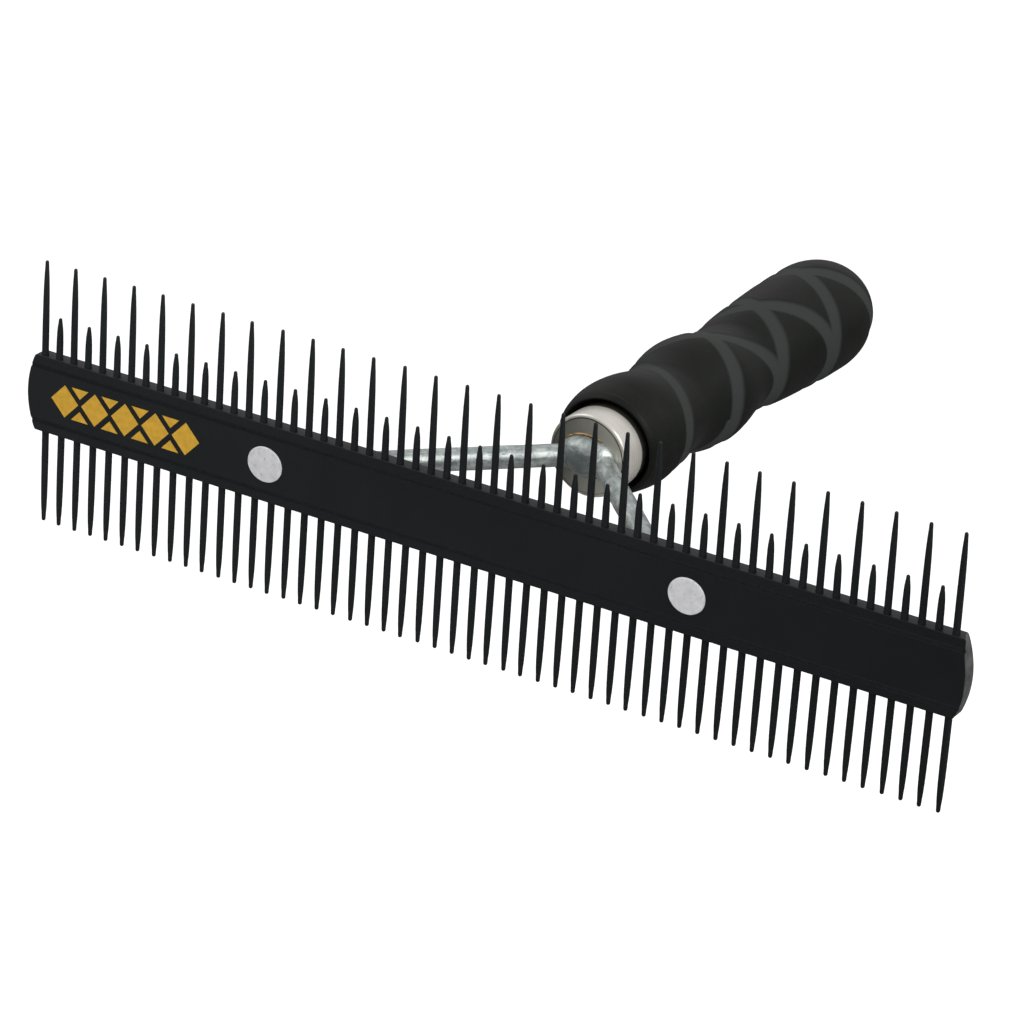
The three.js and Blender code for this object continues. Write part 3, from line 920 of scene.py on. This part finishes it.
def rubber_grip(material):
    outline = grip_outline()
    sides = GRIP_SIDES
    theta = np.arange(sides) * 2 * math.pi / sides
    angle, y = np.meshgrid(theta, outline[:, 1])
    lean = GRIP_LEAN * np.cos(angle - math.radians(LEAN_ANGLE))
    fade = np.clip((y - GRIP_LINE[0][1]) / 6, 0, 1) * np.clip((GRIP_DOME - y) / 20, 0, 1)
    radius = np.interp(y - lean * fade, outline[:, 1], outline[:, 0])
    plain = (y > GRIP_DOME - 1) | (y < GRIP_LINE[2][1])
    radius = np.where(plain, outline[:, :1], radius)
    band = groove_map(angle, y, radius)
    band = band * np.clip((radius - 3) / 3, 0, 1) * np.clip((y - BAND_START) / 1.5, 0, 1)
    radius = radius - BAND_DEPTH * band
    y = y + mouth_skew(angle, y)
    verts = np.stack([radius * np.sin(angle), y, radius * np.cos(angle)], axis=-1)
    verts = verts.reshape(-1, 3).tolist()
    bands = band.ravel().tolist()
    rows = [list(range(i * sides, (i + 1) * sides)) for i in range(len(outline))]
    inside = [
        (10.65, 53.95), (10.4, 54.7), (GRIP_BORE, 56.4), (GRIP_BORE, CORE_END - CORE_CHAMFER),
        (CORE_TIP_RADIUS + 0.12, CORE_END + 0.12),
    ]
    inner = []
    for r, at in inside:
        inner.append(list(range(len(verts), len(verts) + sides)))
        verts += [(r * math.sin(a), at + mouth_skew(a, at), r * math.cos(a)) for a in theta]
        bands += [0.0] * sides
    faces = []
    for low, high in [*zip(rows, rows[1:]), (inner[0], rows[0]), *zip(inner[1:], inner)]:
        for k in range(sides):
            m = (k + 1) % sides
            faces.append([low[k], low[m], high[m], high[k]])
    for last, tip in ((rows[-1], GRIP_END), (inner[-1], CORE_END + 0.12)):
        verts.append((0.0, tip, 0.0))
        bands.append(0.0)
        for k in range(sides):
            faces.append([last[k], last[(k + 1) % sides], len(verts) - 1])
    obj = piece("grip_sleeve", verts, faces, material, ("rubber_grip",), "grip_rubber", sharp=75)
    paint(obj, "band", bands)


# --- Build ---

coating = coating_material()
comb_bar(coating)
channel_shade = channel_shade_material()
channel("channel_shade_upper", GROOVES[0], channel_shade)
channel("channel_shade_lower", GROOVES[1], channel_shade)
tips = (LONG_TIP, SHORT_TIP)
comb_teeth("teeth_mixed", UPPER_COUNT, tips, 1, UPPER_WIDTHS, UPPER_DRIFT, UPPER_FORWARD, coating, 11)
comb_teeth("teeth_even", LOWER_COUNT, (LOWER_TIP,), -1, LOWER_WIDTHS, LOWER_DRIFT, 0.0, coating, 23)
gold_mark(gold_material())
rivet_metal = rivet_material()
rivet("rivet_left", rivet_metal, "left_rivet")
rivet("rivet_right", rivet_metal, "right_rivet")
yoke(zinc_material())
brass = braze_material()
braze_bead("braze_upper", "upper_braze_fillet", 60, 165, brass)
braze_bead("braze_lower", "lower_braze_fillet", 235, 300, brass)
ferrule(nickel_material())
rubber_grip(rubber_material())
core = frame["nodes"]["handle_core"]
core.data.materials.clear()
core.data.materials.append(wood_material())


# --- Floor, light and camera ---


def floor():
    m = Nodes("floor_pale")
    tone = m.noise(3.0, 2)
    m.set(colour=m.ramp(tone, [(0.3, (0.93, 0.93, 0.93)), (0.7, (0.95, 0.95, 0.95))]), rough=0.9)
    mesh = bpy.data.meshes.new("floor")
    size, low = 9.0, -0.30
    corners = [(-size, -size, low), (size, -size, low), (size, size, low), (-size, size, low)]
    mesh.from_pydata(corners, [], [[0, 1, 2, 3]])
    mesh.materials.append(m.material)
    obj = bpy.data.objects.new("floor", mesh)
    bpy.context.scene.collection.objects.link(obj)
    obj.visible_glossy = False


def world():
    made = bpy.data.worlds.new("studio")
    made.use_nodes = True
    tree = made.node_tree
    place = tree.nodes.new("ShaderNodeTexCoord")
    split = tree.nodes.new("ShaderNodeSeparateXYZ")
    tree.links.new(place.outputs["Generated"], split.inputs[0])
    shift = tree.nodes.new("ShaderNodeMapRange")
    shift.inputs["From Min"].default_value = -1.0
    tree.links.new(split.outputs["Z"], shift.inputs["Value"])
    ramp = tree.nodes.new("ShaderNodeValToRGB")
    stops = [(0.0, 0.12), (0.42, 0.18), (0.52, 0.40), (0.66, 0.85), (1.0, 1.0)]
    elements = ramp.color_ramp.elements
    while len(elements) < len(stops):
        elements.new(0.5)
    for element, (at, grey) in zip(elements, stops):
        element.position = at
        element.color = (grey, grey, grey, 1)
    tree.links.new(shift.outputs["Result"], ramp.inputs["Fac"])
    background = tree.nodes["Background"]
    tree.links.new(ramp.outputs["Color"], background.inputs["Color"])
    background.inputs["Strength"].default_value = 1.0
    bpy.context.scene.world = made


def area_light(name, at, size, power):
    data = bpy.data.lights.new(name, "AREA")
    data.shape = "DISK"
    data.size = size
    data.energy = power
    obj = bpy.data.objects.new(name, data)
    obj.location = at
    obj.rotation_euler = (Vector(LIGHT_TARGET) - Vector(at)).to_track_quat("-Z", "Y").to_euler()
    bpy.context.scene.collection.objects.link(obj)


def camera():
    data = bpy.data.cameras.new("camera")
    data.lens = CAMERA_LENS
    data.sensor_width = 36.0
    data.clip_start, data.clip_end = 0.05, 50.0
    obj = bpy.data.objects.new("camera", data)
    bpy.context.scene.collection.objects.link(obj)
    a, e, r = (math.radians(v) for v in (CAMERA_AZIMUTH, CAMERA_ELEVATION, CAMERA_ROLL))
    back = Vector((math.sin(a) * math.cos(e), -math.cos(a) * math.cos(e), math.sin(e)))
    right = Vector((math.cos(a), math.sin(a), 0))
    up = back.cross(right)
    right, up = right * math.cos(r) + up * math.sin(r), up * math.cos(r) - right * math.sin(r)
    turn = Matrix((right, up, back)).transposed()
    at = (Vector(CAMERA_TARGET) + back * CAMERA_DISTANCE) * MM
    obj.matrix_world = Matrix.Translation(at) @ turn.to_4x4()
    bpy.context.scene.camera = obj


floor()
world()
area_light("key", (1.2, -0.5, 0.9), 0.9, 8)
area_light("fill", (-1.2, -0.4, 1.3), 1.2, 9)
area_light("sheen", (0.88, 0.16, 0.78), 0.3, 6)
camera()
bpy.context.scene.view_settings.view_transform = "Standard"
